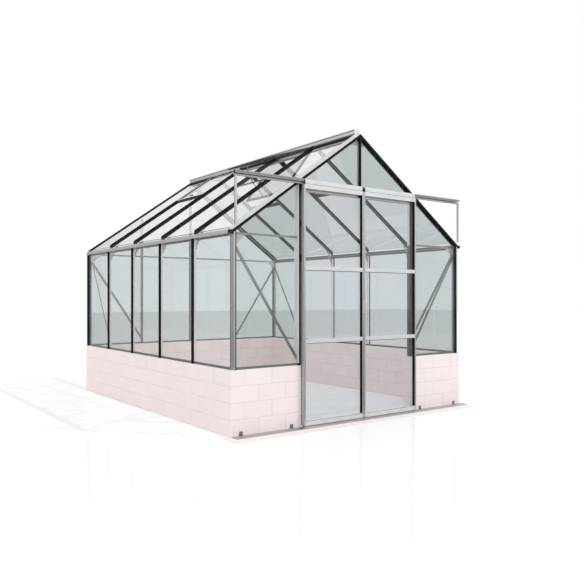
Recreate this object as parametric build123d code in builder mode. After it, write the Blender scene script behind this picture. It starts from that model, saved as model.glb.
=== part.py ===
from build123d import *
import os
from math import cos, radians, sin, tan

# A glass greenhouse of aluminium bars on a dwarf wall of blocks, with two sliding doors.
# X runs to the right of someone who faces the doors, Y into the house, Z up, in millimetres.
# The origin is on the ground under the middle of the whole footprint.

# House
bay_pitch = 740             # from one bar to the next along the house
bays = 5
house_width = 3064          # over the outer faces of the side bars
roof_pitch = 35             # degrees
eaves_height = 1807         # to the tops of the wall bars, where the gutters lie
glass_rise = 37             # from there to the roof glass, above the outer faces of the side bars
roof_setback = 32           # from those faces in to the lower ends of the roof's bars and glass

# Dwarf wall
wall_height = 594
wall_thickness = 140
wall_reach = 10             # past the outer faces of the side bars
doorway_width = 1530
kerb_reach = 220            # how far the kerb stands out in front of the wall
kerb_height = 8
kerb_overhang = 63          # past each side wall
sill_height = 20
sill_gap = 1                # joint between two lengths of sill

# Glazing bar: a face strip, a web between the two seals, and a stem behind the glass
bar_width = 20
bar_face = 3
web_width = 12
seal_depth = 18
glass_thickness = 4
stem_depth = 20
glass_gap = 1               # between a pane's edge and the web or post beside it

# Corner post
post_setback = 22           # of its face on the side wall, behind the faces of the side bars
corner_return = 16          # its width on the gable
corner_side = 59            # its width on the side wall
corner_ledge = 7            # how far its inner flange reaches past that, behind the side glass
corner_gasket = 10

# Gable rafter, measured from the gable face inwards and from the roof glass upwards
rafter_lip = -15
rafter_lip_rise = 4
rafter_crest = 13
rafter_crest_start = 50
rafter_gasket = 20
rafter_ledge = 3
mitre_gap = 1

# Ridge
ridge_width = 60
ridge_foot = 58             # below the roof's apex line
ridge_head = 34             # above it
ridge_cap_width = 72
ridge_cap_height = 12
ridge_seal_reach = 36
ridge_seal_height = 12

# Gutter and eaves
eaves_plate = 6
gutter_reach = 11           # of its lip, past the side bars
gutter_height = 35
gutter_wall = 3
gutter_lip_start = 50       # from the front gable to the lip's front end
gutter_lip_stop = 15        # from the lip's rear end to the rear gable
end_cap_nose = 12           # how far an end cap stands out of the front gable
end_cap_height = 30

# Door opening
jamb_depth = 85             # from the gable face
header_drop = 31.4          # below the rafters' gaskets, at the sides of the doorway
header_height = 55

# Ties, braces and gusset plates
tie_drop = 5                # of its foot below the eaves
tie_height = 20
tie_thickness = 4
brace_width = 30
brace_thickness = 3
brace_drop = 90             # of its upper end below the eaves
brace_rise = 30             # of its lower end above the sill
gusset_thickness = 4
gusset_drop = 110
gusset_run = 108
gusset_strap = 28           # width of its slanting strap
gusset_web = 9              # width of the web from its corner to the strap
corner_plate = 145
corner_plate_thickness = 3
apex_plate_half = 110
apex_plate_top_half = 30
apex_plate_height = 60
apex_plate_drop = 8         # below the foot of the ridge beam

# Roof vents
vent_length = 679
vent_rail = 24
vent_depth = 18
vent_side_gap = 2
vent_seat = 2               # height of the vent above the roof glass
vent_ridge_gap = 0.3
vent_glass_setback = 6
vent_sill_width = 30
vent_sill_depth = 14
vent_sill_lap = 20          # how far the vent laps onto its sill
vent_open_angle = 17        # degrees
stay_width = 14
stay_thickness = 6
vent_bays = (2, 4)          # of both slopes, counted from the rear gable; the last left one is open

# Sliding doors
door_clearance = 8          # between the gable face and the back of the doors
door_depth = 40
door_meeting_gap = 5
door_lift = 5               # between the doors and the bottom rail, and the doors and the track
stile_width = 18
kick_rail_height = 45
low_rail_foot = 797
mid_rail_foot = 1494
cross_rail_height = 42
top_rail_height = 38
fascia_rise = 44            # of its head above the foot of the track
fascia_thickness = 9
door_seal = 3
door_seal_setback = 3
door_glass_setback = 2
handle_width = 16
handle_foot = 1077
handle_length = 120
handle_depth = 10
roller_inset = 80
roller_radius = 10
roller_width = 10
roller_pin_radius = 3
running_gap = 0.3

# Top track, its end rods, and the bottom rail
track_rise = 8              # of its foot above the header
track_height = 50
track_depth = 27
track_inset = 18            # of its ends, from the outer faces of the side bars
track_wall = 3
track_low_lip = 6
track_high_lip = 27
end_rod_inset = 22          # from the outer faces of the side bars
end_rod_foot = 66           # above the eaves
end_rod_width = 19
end_rod_depth = 16
end_rod_setback = 6
rail_front = 115
rail_back = 20
rail_height = 8
rail_nose = 2
rail_flat = 50
rail_overhang = 3           # past each side wall
bracket_width = 36
bracket_height = 39
bracket_thickness = 3
bracket_outer = 95
bracket_inner = 655

# Worked out from the sizes above
slope = radians(roof_pitch)
house_length = bays * bay_pitch + bar_width
half_width = house_width / 2
wall_half = half_width + wall_reach
front = (kerb_reach - house_length) / 2
rear = front + house_length
sill_top = wall_height + sill_height
glass_line = eaves_height + glass_rise
glass_depth = bar_face + seal_depth
glass_back = glass_depth + glass_thickness
bar_depth = glass_back + stem_depth
stem_line = glass_depth - bar_depth
apex = glass_line + half_width * tan(slope)
gasket_foot = rafter_lip - rafter_gasket
rafter_depth = corner_side + rafter_ledge
return_edge = post_setback + corner_return
pane_edge = web_width / 2 + glass_gap
half_doorway = doorway_width / 2
half_jambs = half_doorway + bar_width
header_roof = glass_line + (half_width - half_doorway) * tan(slope)
header_head = header_roof + gasket_foot / cos(slope) - header_drop
header_foot = header_head - header_height
track_foot = header_head + track_rise
track_head = track_foot + track_height
tie_foot = eaves_height - tie_drop
tie_head = tie_foot + tie_height
brace_head = eaves_height - brace_drop
brace_foot = sill_top + brace_rise
door_post = half_doorway + bar_width / 2
rear_post = (house_width - bar_width) / 4
roof_half = half_width - roof_setback
gutter_half = half_width + gutter_reach
plate_ends = corner_side + corner_ledge
half_ridge = ridge_width / 2
vent_top = (half_ridge + vent_ridge_gap) / cos(slope)
vent_sill_start = vent_top + vent_length - vent_sill_lap
vent_sill_end = vent_sill_start + vent_sill_width
vent_width = bay_pitch - bar_width - 2 * vent_side_gap
vent_numbers = [bays - bay for bay in vent_bays]    # the same bays, counted from the front
rail_top = kerb_height + rail_height
door_foot = rail_top + door_lift
door_head = track_foot - door_lift
top_rail_foot = door_head - top_rail_height
fascia_head = track_foot + fascia_rise
door_back = front - door_clearance
door_front = door_back - door_depth
track_front = front - track_depth

FRONT_FACE = Vector(0, -1, 0)
REAR_FACE = Vector(0, 1, 0)
UP = Vector(0, 0, 1)
BAR_PARTS = (               # the width and the two depths of each
    (bar_width, 0, bar_face),
    (web_width, bar_face, glass_back),
    (bar_width, glass_back, bar_depth),
)
SIDES = ((-1, "left"), (1, "right"))

os.makedirs("parts", exist_ok=True)


def inward(side, distance):
    """The x of a point at a distance inside the outer face of a side wall."""
    return side * (half_width - distance)


def bar_centre(number):
    """The y of a bar's centre, counting from the front corner."""
    return front + number * bay_pitch + bar_width / 2


def down(side):
    """The direction down a roof slope."""
    return Vector(side * cos(slope), 0, -sin(slope))


def outward(side):
    """The direction out of a roof slope."""
    return Vector(side * sin(slope), 0, cos(slope))


def roof_point(side, y, along, above):
    """A point down the slope from the apex line, and above the roof glass."""
    return Vector(0, y, apex) + down(side) * along + outward(side) * above


def roof_height(distance, above):
    """The height of the roof at a distance inside the side wall's outer face."""
    return glass_line + distance * tan(slope) + above / cos(slope)


def section_plane(origin, out, run):
    """A plane across a bar: its local Y points out of the house and its normal along the bar."""
    return Plane(origin=origin, x_dir=out.cross(run), z_dir=run)


def rectangle(x_low, x_high, y_low, y_high):
    """A rectangle in the current sketch, between two corners."""
    with Locations(((x_low + x_high) / 2, (y_low + y_high) / 2)):
        Rectangle(abs(x_high - x_low), abs(y_high - y_low))


def slab(x_low, x_high, y_low, y_high, z_low, z_high):
    """A box between two corners."""
    with BuildSketch(Plane.XY.offset(z_low)) as outline:
        rectangle(x_low, x_high, y_low, y_high)
    extrude(outline.sketch, amount=z_high - z_low)


def plate(plane, points, thickness):
    """A flat plate with straight edges."""
    with BuildSketch(plane) as outline:
        with BuildLine():
            Polyline(*points, close=True)
        make_face()
    extrude(outline.sketch, amount=thickness)


def glazing_bar(origin, out, run, length):
    """A bar from its outer face inwards: face strip, web and stem."""
    with BuildSketch(section_plane(origin, out, run)) as section:
        rectangle(-bar_width / 2, bar_width / 2, -bar_face, 0)
        rectangle(-web_width / 2, web_width / 2, -glass_back, -bar_face)
        rectangle(-bar_width / 2, bar_width / 2, -bar_depth, -glass_back)
    extrude(section.sketch, amount=length)


def bar_seal(origin, out, run, length, hand):
    """One rubber seal beside a bar's web, in front of the glass."""
    with BuildSketch(section_plane(origin, out, run)) as section:
        rectangle(hand * web_width / 2, hand * bar_width / 2, -glass_depth, -bar_face)
    extrude(section.sketch, amount=length)


def cut_under_rafters():
    """Cuts what stands in a gable along the undersides of its two rafters."""
    for side, hand in SIDES:
        underside = Plane(origin=roof_point(side, 0, 0, gasket_foot), z_dir=outward(side))
        split(bisect_by=underside, keep=Keep.BOTTOM)


def bay_edges(number, end_setback):
    """The y of the two edges of the pane in a bay, counting bays from the front."""
    low = bar_centre(number) + pane_edge
    high = bar_centre(number + 1) - pane_edge
    if number == 0:
        low = front + end_setback + glass_gap
    if number == bays - 1:
        high = rear - end_setback - glass_gap
    return low, high


# Dwarf wall, kerb and sills

for side, hand in SIDES:
    with BuildPart() as side_wall:
        slab(side * (wall_half - wall_thickness), side * wall_half, front, rear, 0, wall_height)
    side_wall.part.label = f"{hand}_wall"
    export_step(side_wall.part, f"parts/{hand}_wall.step")

    with BuildPart() as front_wall:
        slab(side * half_doorway, side * (wall_half - wall_thickness),
             front, front + wall_thickness, 0, wall_height)
    front_wall.part.label = f"front_wall_{hand}"
    export_step(front_wall.part, f"parts/front_wall_{hand}.step")

with BuildPart() as rear_wall:
    slab(wall_thickness - wall_half, wall_half - wall_thickness,
         rear - wall_thickness, rear, 0, wall_height)
rear_wall.part.label = "rear_wall"
export_step(rear_wall.part, "parts/rear_wall.step")

with BuildPart() as door_kerb:
    kerb_half = wall_half + kerb_overhang
    slab(-kerb_half, kerb_half, front - kerb_reach, front, 0, kerb_height)
door_kerb.part.label = "door_kerb"
export_step(door_kerb.part, "parts/door_kerb.step")

with BuildPart() as wall_sills:
    sill_half = half_width - bar_depth - sill_gap
    sill_end = plate_ends + sill_gap
    for side, hand in SIDES:
        slab(inward(side, bar_depth), inward(side, glass_depth), front + sill_end, rear - sill_end,
             wall_height, sill_top)
        slab(side * half_doorway, side * sill_half, front + glass_depth, front + bar_depth,
             wall_height, sill_top)
    slab(-sill_half, sill_half, rear - bar_depth, rear - glass_depth, wall_height, sill_top)
wall_sills.part.label = "wall_sills"
export_step(wall_sills.part, "parts/wall_sills.step")

# Uprights


def corner_post(side, face, inwards):
    """A corner post: a broad face on the side wall, a narrow one on the gable, and a flange inside."""
    points = (
        (post_setback, 0), (return_edge, 0), (return_edge, glass_back), (bar_depth, glass_back),
        (bar_depth, plate_ends), (glass_back, plate_ends), (glass_back, corner_side),
        (post_setback, corner_side),
    )
    corners = [(inward(side, across), face + inwards * deep) for across, deep in points]
    plate(Plane.XY.offset(wall_height), corners, apex - wall_height)


with BuildPart() as corner_posts:
    for side, hand in SIDES:
        corner_post(side, front, 1)
        corner_post(side, rear, -1)
        slab(inward(side, post_setback), inward(side, 0), rear - bar_width, rear, wall_height, apex)
    cut_under_rafters()
corner_posts.part.label = "corner_posts"
export_step(corner_posts.part, "parts/corner_posts.step")

for side, hand in SIDES:
    with BuildPart() as wall_bars:
        for number in range(1, bays):
            y = bar_centre(number)
            glazing_bar(Vector(side * half_width, y, sill_top), Vector(side, 0, 0), UP,
                        eaves_height - sill_top)
            slab(inward(side, glass_depth), inward(side, 0), y - bar_width / 2, y + bar_width / 2,
                 wall_height, sill_top)
    wall_bars.part.label = f"{hand}_wall_bars"
    export_step(wall_bars.part, f"parts/{hand}_wall_bars.step")

with BuildPart() as rear_gable_posts:
    for x in (-rear_post, 0, rear_post):
        glazing_bar(Vector(x, rear, sill_top), REAR_FACE, UP, apex - sill_top)
        slab(x - bar_width / 2, x + bar_width / 2, rear - glass_depth, rear, wall_height, sill_top)
    cut_under_rafters()
rear_gable_posts.part.label = "rear_gable_posts"
export_step(rear_gable_posts.part, "parts/rear_gable_posts.step")

with BuildPart() as door_header:
    slab(-half_doorway, half_doorway, front, front + bar_depth, header_foot, header_head)
door_header.part.label = "door_header"
export_step(door_header.part, "parts/door_header.step")

with BuildPart() as front_gable_posts:
    for side, hand in SIDES:
        glazing_bar(Vector(side * door_post, front, sill_top), FRONT_FACE, UP, apex - sill_top)
        slab(side * half_doorway, side * half_jambs, front, front + glass_depth,
             wall_height, sill_top)
        slab(side * half_doorway, side * half_jambs, front + bar_depth, front + jamb_depth,
             wall_height, header_head)
    glazing_bar(Vector(0, front, header_head), FRONT_FACE, UP, apex - header_head)
    cut_under_rafters()
front_gable_posts.part.label = "front_gable_posts"
export_step(front_gable_posts.part, "parts/front_gable_posts.step")

# Eaves and roof

for side, hand in SIDES:
    with BuildPart() as gutter:
        lip = side * gutter_half
        lip_back = side * (gutter_half - gutter_wall)
        back = side * roof_half
        back_inner = side * (roof_half - gutter_wall)
        start, end = front + plate_ends, rear - plate_ends
        slab(lip, lip_back, front + gutter_lip_start, rear - gutter_lip_stop,
             eaves_height, eaves_height + gutter_height)
        slab(lip, back_inner, start, end, eaves_height, eaves_height + gutter_wall)
        slab(back, back_inner, start, end, eaves_height, roof_height(roof_setback, stem_line))
        slab(back_inner, inward(side, bar_depth), start, end, eaves_height, eaves_height + eaves_plate)
    gutter.part.label = f"{hand}_gutter"
    export_step(gutter.part, f"parts/{hand}_gutter.step")

with BuildPart() as gutter_end_caps:
    for side, hand in SIDES:
        slab(side * half_width, side * gutter_half, front - end_cap_nose, front + gutter_lip_start,
             eaves_height, eaves_height + end_cap_height)
gutter_end_caps.part.label = "gutter_end_caps"
export_step(gutter_end_caps.part, "parts/gutter_end_caps.step")


def slope_run(side, y_low, y_high, low, high, start, end):
    """A length down a slope with upright ends, from its width and its height above the glass."""
    with BuildSketch(Plane.YZ.offset(side * start)) as section:
        distance = half_width - start
        rectangle(y_low, y_high, roof_height(distance, low), roof_height(distance, high))
    extrude(section.sketch, amount=(end - start) / cos(slope), dir=down(side))


def gable_run(side, face, inwards, points):
    """A length along the edge of a slope, from points inwards of the gable and above the glass."""
    distance = half_width - mitre_gap / 2
    corners = [(face + inwards * deep, roof_height(distance, above)) for deep, above in points]
    with BuildSketch(Plane.YZ.offset(side * mitre_gap / 2)) as section:
        with BuildLine():
            Polyline(*corners, close=True)
        make_face()
    extrude(section.sketch, amount=distance / cos(slope), dir=down(side))


with BuildPart() as gable_rafters:
    rafter_points = (
        (0, rafter_lip), (0, rafter_lip + rafter_lip_rise), (rafter_crest_start, rafter_crest),
        (corner_side, rafter_crest), (corner_side, -glass_thickness), (rafter_depth, -glass_thickness),
        (rafter_depth, gasket_foot), (glass_depth, gasket_foot), (glass_depth, rafter_lip),
    )
    for side, hand in SIDES:
        gable_run(side, front, 1, rafter_points)
        gable_run(side, rear, -1, rafter_points)
gable_rafters.part.label = "gable_rafters"
export_step(gable_rafters.part, "parts/gable_rafters.step")

for side, hand in SIDES:
    with BuildPart() as roof_bars:
        for number in range(1, bays):
            y = bar_centre(number)
            for width, near, far in BAR_PARTS:
                slope_run(side, y - width / 2, y + width / 2, glass_depth - far, glass_depth - near,
                          half_ridge, roof_half)
    roof_bars.part.label = f"{hand}_roof_bars"
    export_step(roof_bars.part, f"parts/{hand}_roof_bars.step")

with BuildPart() as ridge_beam:
    ridge_start = front + rafter_depth
    ridge_end = rear - rafter_depth
    slab(-half_ridge, half_ridge, ridge_start, ridge_end, apex - ridge_foot, apex + ridge_head)
    slab(-ridge_cap_width / 2, ridge_cap_width / 2, ridge_start, ridge_end,
         apex + ridge_head, apex + ridge_head + ridge_cap_height)
ridge_beam.part.label = "ridge_beam"
export_step(ridge_beam.part, "parts/ridge_beam.step")

# Ties, braces and gusset plates


def flat_bar(plane, start, end, width, thickness):
    """A flat bar between two points of a plane."""
    line = Vector(*end) - Vector(*start)
    middle = (Vector(*start) + Vector(*end)) / 2
    turn = line.get_signed_angle(Vector(1, 0, 0), Vector(0, 0, -1))
    with BuildSketch(plane) as outline:
        with Locations((middle.X, middle.Y)):
            Rectangle(line.length, width, rotation=turn)
    extrude(outline.sketch, amount=thickness)


def gable_layer(face, inwards, distance, thickness):
    """The sketch plane of a flat piece at a distance inside a gable, to extrude towards the front."""
    deep = distance + thickness if inwards > 0 else distance
    return Plane.XZ.offset(-(face + inwards * deep))


def side_layer(side, distance, thickness):
    """The sketch plane of a flat piece at a distance inside a side wall, to extrude to the right."""
    return Plane.YZ.offset(inward(side, distance if side < 0 else distance + thickness))


with BuildPart() as tie_bars:
    for side, hand in SIDES:
        slab(inward(side, bar_depth), side * half_jambs,
             front + bar_depth, front + bar_depth + tie_thickness, tie_foot, tie_head)
    slab(inward(-1, bar_depth), inward(1, bar_depth),
         rear - bar_depth - tie_thickness, rear - bar_depth, tie_foot, tie_head)
tie_bars.part.label = "tie_bars"
export_step(tie_bars.part, "parts/tie_bars.step")

with BuildPart() as braces:
    for side, number in ((1, 1), (1, bays - 1), (-1, bays - 1)):
        plane = side_layer(side, bar_depth, brace_thickness)
        corner = front + plate_ends if number == 1 else rear - plate_ends
        flat_bar(plane, (corner, brace_head), (bar_centre(number), brace_foot),
                 brace_width, brace_thickness)
    split(bisect_by=Plane.XZ.offset(-(front + plate_ends)), keep=Keep.BOTTOM)
    split(bisect_by=Plane.XZ.offset(-(rear - plate_ends)), keep=Keep.TOP)
    for side, hand in SIDES:
        for face, inwards, post in ((front, 1, door_post), (rear, -1, rear_post)):
            plane = gable_layer(face, inwards, bar_depth, brace_thickness)
            flat_bar(plane, (inward(side, bar_depth), brace_head), (side * post, brace_foot),
                     brace_width, brace_thickness)
    for side, hand in SIDES:
        inner = Keep.TOP if side < 0 else Keep.BOTTOM
        split(bisect_by=Plane.YZ.offset(inward(side, bar_depth)), keep=inner)
    with BuildSketch(Plane.XY) as between_jambs:
        rectangle(-half_jambs, half_jambs, front, front + jamb_depth)
    extrude(between_jambs.sketch, amount=eaves_height, mode=Mode.SUBTRACT)
braces.part.label = "braces"
export_step(braces.part, "parts/braces.step")

with BuildPart() as gusset_plates:
    for side, hand in SIDES:
        for number in range(1, bays):
            plane = Plane.XZ.offset(-(bar_centre(number) + gusset_thickness / 2))
            low = Vector(inward(side, bar_depth), eaves_height - gusset_drop)
            high = Vector(inward(side, bar_depth + gusset_run),
                          roof_height(bar_depth + gusset_run, stem_line))
            corner = Vector(inward(side, bar_depth), roof_height(bar_depth, stem_line))
            strap = high - low
            strap_distance = strap.cross(corner - low).length / strap.length
            open_share = 1 - gusset_strap / strap_distance
            inner_low = corner + (low - corner) * open_share
            inner_high = corner + (high - corner) * open_share
            plate(plane, (low, inner_low, inner_high, high), gusset_thickness)
            web = (low + high) / 2 - corner
            centre = corner + web / 2
            turn = web.get_signed_angle(Vector(1, 0, 0), Vector(0, 0, -1))
            with BuildSketch(plane) as outline:
                with Locations((centre.X, centre.Y)):
                    Rectangle(web.length, gusset_web, rotation=turn)
                with BuildLine():
                    Polyline(low, corner, high, close=True)
                make_face(mode=Mode.INTERSECT)
            extrude(outline.sketch, amount=gusset_thickness)
        for face, inwards in ((front, 1), (rear, -1)):
            plane = gable_layer(face, inwards, bar_depth + tie_thickness, corner_plate_thickness)
            near = bar_depth + brace_thickness
            corners = (
                (inward(side, near), tie_foot - gusset_drop),
                (inward(side, near), tie_head),
                (inward(side, near + corner_plate), tie_head),
            )
            plate(plane, corners, corner_plate_thickness)
    for face, inwards in ((front, 1), (rear, -1)):
        plane = gable_layer(face, inwards, bar_depth, corner_plate_thickness)
        top = apex - ridge_foot - apex_plate_drop
        corners = (
            (-apex_plate_half, top - apex_plate_height), (apex_plate_half, top - apex_plate_height),
            (apex_plate_top_half, top), (-apex_plate_top_half, top),
        )
        plate(plane, corners, corner_plate_thickness)
gusset_plates.part.label = "gusset_plates"
export_step(gusset_plates.part, "parts/gusset_plates.step")

# Rubber seals

with BuildPart() as wall_seals:
    for side, hand in SIDES:
        for number in range(1, bays):
            for edge in (-1, 1):
                foot = Vector(side * half_width, bar_centre(number), sill_top)
                bar_seal(foot, Vector(side, 0, 0), UP, eaves_height - sill_top, edge)
wall_seals.part.label = "wall_seals"
export_step(wall_seals.part, "parts/wall_seals.step")

with BuildPart() as gable_seals:
    for side, hand in SIDES:
        for face, inwards in ((front, 1), (rear, -1)):
            slab(inward(side, return_edge), inward(side, return_edge + corner_gasket),
                 face, face + inwards * glass_depth, wall_height, apex)
        bar_seal(Vector(side * door_post, front, sill_top), FRONT_FACE, UP, apex - sill_top, -side)
        bar_seal(Vector(side * door_post, front, header_head), FRONT_FACE, UP, apex - header_head, side)
        bar_seal(Vector(0, front, header_head), FRONT_FACE, UP, apex - header_head, side)
        for x in (-rear_post, 0, rear_post):
            bar_seal(Vector(x, rear, sill_top), REAR_FACE, UP, apex - sill_top, side)
    cut_under_rafters()
gable_seals.part.label = "gable_seals"
export_step(gable_seals.part, "parts/gable_seals.step")

with BuildPart() as rafter_gaskets:
    gasket_points = (
        (0, gasket_foot), (glass_depth, gasket_foot), (glass_depth, rafter_lip), (0, rafter_lip),
    )
    for side, hand in SIDES:
        gable_run(side, front, 1, gasket_points)
        gable_run(side, rear, -1, gasket_points)
rafter_gaskets.part.label = "rafter_gaskets"
export_step(rafter_gaskets.part, "parts/rafter_gaskets.step")

with BuildPart() as roof_seals:
    for side, hand in SIDES:
        for number in range(bays):
            low, high = bay_edges(number, corner_side)
            low = low - glass_gap
            high = high + glass_gap
            start = vent_sill_end * cos(slope) if number in vent_numbers else half_ridge
            seal = (bar_width - web_width) / 2
            for y_low, y_high in ((low, low + seal), (high - seal, high)):
                slope_run(side, y_low, y_high, 0, rafter_crest, start, roof_half)
            if number not in vent_numbers:
                slope_run(side, low + seal, high - seal, 0, ridge_seal_height, half_ridge,
                          half_ridge + ridge_seal_reach)
roof_seals.part.label = "roof_seals"
export_step(roof_seals.part, "parts/roof_seals.step")

# Glass

for side, hand in SIDES:
    with BuildPart() as wall_glass:
        for number in range(bays):
            low, high = bay_edges(number, corner_side)
            slab(inward(side, glass_depth), inward(side, glass_back), low, high, sill_top, eaves_height)
    wall_glass.part.label = f"{hand}_wall_glass"
    export_step(wall_glass.part, f"parts/{hand}_wall_glass.step")

    with BuildPart() as roof_glass:
        for number in range(bays):
            low, high = bay_edges(number, corner_side)
            start = vent_sill_end * cos(slope) if number in vent_numbers else half_ridge
            slope_run(side, low, high, -glass_thickness, 0, start, roof_half)
    roof_glass.part.label = f"{hand}_roof_glass"
    export_step(roof_glass.part, f"parts/{hand}_roof_glass.step")

with BuildPart() as front_gable_glass:
    for side, hand in SIDES:
        slab(inward(side, return_edge + glass_gap), side * (door_post + pane_edge),
             front + glass_depth, front + glass_back, sill_top, apex)
        slab(side * (door_post - pane_edge), side * pane_edge,
             front + glass_depth, front + glass_back, header_head, apex)
    cut_under_rafters()
front_gable_glass.part.label = "front_gable_glass"
export_step(front_gable_glass.part, "parts/front_gable_glass.step")

with BuildPart() as rear_gable_glass:
    for side, hand in SIDES:
        slab(inward(side, return_edge + glass_gap), side * (rear_post + pane_edge),
             rear - glass_back, rear - glass_depth, sill_top, apex)
        slab(side * (rear_post - pane_edge), side * pane_edge,
             rear - glass_back, rear - glass_depth, sill_top, apex)
    cut_under_rafters()
rear_gable_glass.part.label = "rear_gable_glass"
export_step(rear_gable_glass.part, "parts/rear_gable_glass.step")

# Roof vents: a fixed frame and pane each, hinged under the ridge on the real house


def vent_plane(side, number, angle):
    """The plane of a vent, from the middle of its hinge line; its local X runs down the vent."""
    lift = radians(angle)
    along = down(side) * cos(lift) + outward(side) * sin(lift)
    normal = outward(side) * cos(lift) - down(side) * sin(lift)
    y = (bar_centre(number) + bar_centre(number + 1)) / 2
    return Plane(origin=roof_point(side, y, vent_top, vent_seat), x_dir=along, z_dir=normal)


def vent_frame(plane):
    """The frame of a vent, as one ring."""
    half_vent = vent_width / 2
    with BuildSketch(plane) as ring:
        rectangle(0, vent_length, -half_vent, half_vent)
        with Locations((vent_length / 2, 0)):
            Rectangle(vent_length - 2 * vent_rail, vent_width - 2 * vent_rail, mode=Mode.SUBTRACT)
    extrude(ring.sketch, amount=vent_depth)


def vent_pane(plane):
    """The pane that fills a vent's frame."""
    with BuildSketch(plane.offset(vent_glass_setback)) as pane:
        with Locations((vent_length / 2, 0)):
            Rectangle(vent_length - 2 * vent_rail, vent_width - 2 * vent_rail)
    extrude(pane.sketch, amount=glass_thickness)


open_vent = (-1, vent_numbers[-1])
vents = [(side, number) for side, hand in SIDES for number in vent_numbers]
closed_vents = [vent for vent in vents if vent != open_vent]

with BuildPart() as vent_sills:
    for side, number in vents:
        y_low = bar_centre(number) + bar_width / 2
        y_high = bar_centre(number + 1) - bar_width / 2
        slope_run(side, y_low, y_high, vent_seat - vent_sill_depth, vent_seat,
                  vent_sill_start * cos(slope), vent_sill_end * cos(slope))
vent_sills.part.label = "vent_sills"
export_step(vent_sills.part, "parts/vent_sills.step")

with BuildPart() as closed_vent_frames:
    for side, number in closed_vents:
        vent_frame(vent_plane(side, number, 0))
closed_vent_frames.part.label = "closed_vent_frames"
export_step(closed_vent_frames.part, "parts/closed_vent_frames.step")

with BuildPart() as open_vent_frame:
    vent_frame(vent_plane(*open_vent, vent_open_angle))
open_vent_frame.part.label = "open_vent_frame"
export_step(open_vent_frame.part, "parts/open_vent_frame.step")

with BuildPart() as vent_glass:
    for side, number in closed_vents:
        vent_pane(vent_plane(side, number, 0))
    vent_pane(vent_plane(*open_vent, vent_open_angle))
vent_glass.part.label = "vent_glass"
export_step(vent_glass.part, "parts/vent_glass.step")

with BuildPart() as vent_stay:
    hinge = vent_plane(*open_vent, 0)
    lift = radians(vent_open_angle)
    foot = (vent_sill_start + vent_sill_end) / 2 - vent_top
    head = vent_length - vent_rail / 2
    half_stay = stay_width / 2
    corners = (
        (foot - half_stay, 0), (foot + half_stay, 0),
        ((head + half_stay) * cos(lift), (head + half_stay) * sin(lift)),
        ((head - half_stay) * cos(lift), (head - half_stay) * sin(lift)),
    )
    upright = Plane(origin=hinge.origin, x_dir=hinge.x_dir, z_dir=hinge.x_dir.cross(hinge.z_dir))
    plate(upright.offset(-stay_thickness / 2), corners, stay_thickness)
vent_stay.part.label = "vent_stay"
export_step(vent_stay.part, "parts/vent_stay.step")

# Sliding doors

rails = (
    (door_foot, door_foot + kick_rail_height), (low_rail_foot, low_rail_foot + cross_rail_height),
    (mid_rail_foot, mid_rail_foot + cross_rail_height), (top_rail_foot, door_head),
)
panes = [(rails[index][1], rails[index + 1][0]) for index in range(len(rails) - 1)]

for side, hand in SIDES:
    meeting = side * door_meeting_gap / 2
    outer = side * half_doorway
    inner_edge = meeting + side * stile_width
    outer_edge = outer - side * stile_width

    with BuildPart() as door_stiles:
        for edge, inside in ((meeting, inner_edge), (outer, outer_edge)):
            slab(edge, inside, door_front, door_back, door_foot, door_head)
    door_stiles.part.label = f"{hand}_door_stiles"
    export_step(door_stiles.part, f"parts/{hand}_door_stiles.step")

    with BuildPart() as door_rails:
        for foot, head in rails:
            slab(inner_edge, outer_edge, door_front, door_back, foot, head)
        slab(inner_edge, outer_edge, door_front, door_front + fascia_thickness,
             top_rail_foot, fascia_head)
    door_rails.part.label = f"{hand}_door_rails"
    export_step(door_rails.part, f"parts/{hand}_door_rails.step")

    pane_back = door_back - door_glass_setback
    pane_front = pane_back - glass_thickness
    with BuildPart() as door_glass:
        for foot, head in panes:
            slab(inner_edge, outer_edge, pane_front, pane_back, foot, head)
    door_glass.part.label = f"{hand}_door_glass"
    export_step(door_glass.part, f"parts/{hand}_door_glass.step")

    with BuildPart() as door_seals:
        for foot, head in panes:
            for edge, inside in ((inner_edge, side * door_seal), (outer_edge, -side * door_seal)):
                slab(edge, edge + inside, door_front + door_seal_setback, pane_front, foot, head)
    door_seals.part.label = f"{hand}_door_seals"
    export_step(door_seals.part, f"parts/{hand}_door_seals.step")

    with BuildPart() as door_handle:
        margin = (stile_width - handle_width) / 2
        slab(meeting + side * margin, meeting + side * (margin + handle_width),
             door_front - handle_depth, door_front, handle_foot, handle_foot + handle_length)
    door_handle.part.label = f"{hand}_door_handle"
    export_step(door_handle.part, f"parts/{hand}_door_handle.step")

    with BuildPart() as door_rollers:
        height = track_foot + track_wall + running_gap + roller_radius
        wheel_back = front - (track_depth - roller_width) / 2
        for x in (inner_edge + side * roller_inset, outer_edge - side * roller_inset):
            with BuildSketch(Plane.XZ.offset(-wheel_back)) as wheel:
                with Locations((x, height)):
                    Circle(roller_radius)
            extrude(wheel.sketch, amount=roller_width)
            with BuildSketch(Plane.XZ.offset(-(wheel_back - roller_width))) as pin:
                with Locations((x, height)):
                    Circle(roller_pin_radius)
            extrude(pin.sketch, amount=wheel_back - roller_width - door_front - fascia_thickness)
    door_rollers.part.label = f"{hand}_door_rollers"
    export_step(door_rollers.part, f"parts/{hand}_door_rollers.step")

# Top track, end rods and bottom rail

with BuildPart() as top_track:
    with BuildSketch(Plane.YZ) as section:
        rectangle(front - track_wall, front, track_foot, track_head)
        rectangle(track_front, front, track_foot, track_foot + track_wall)
        rectangle(track_front, front, track_head - track_wall, track_head)
        rectangle(track_front, track_front + track_wall, track_foot, track_foot + track_low_lip)
        rectangle(track_front, track_front + track_wall, track_head - track_high_lip, track_head)
    extrude(section.sketch, amount=half_width - track_inset, both=True)
top_track.part.label = "top_track"
export_step(top_track.part, "parts/top_track.step")

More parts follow.
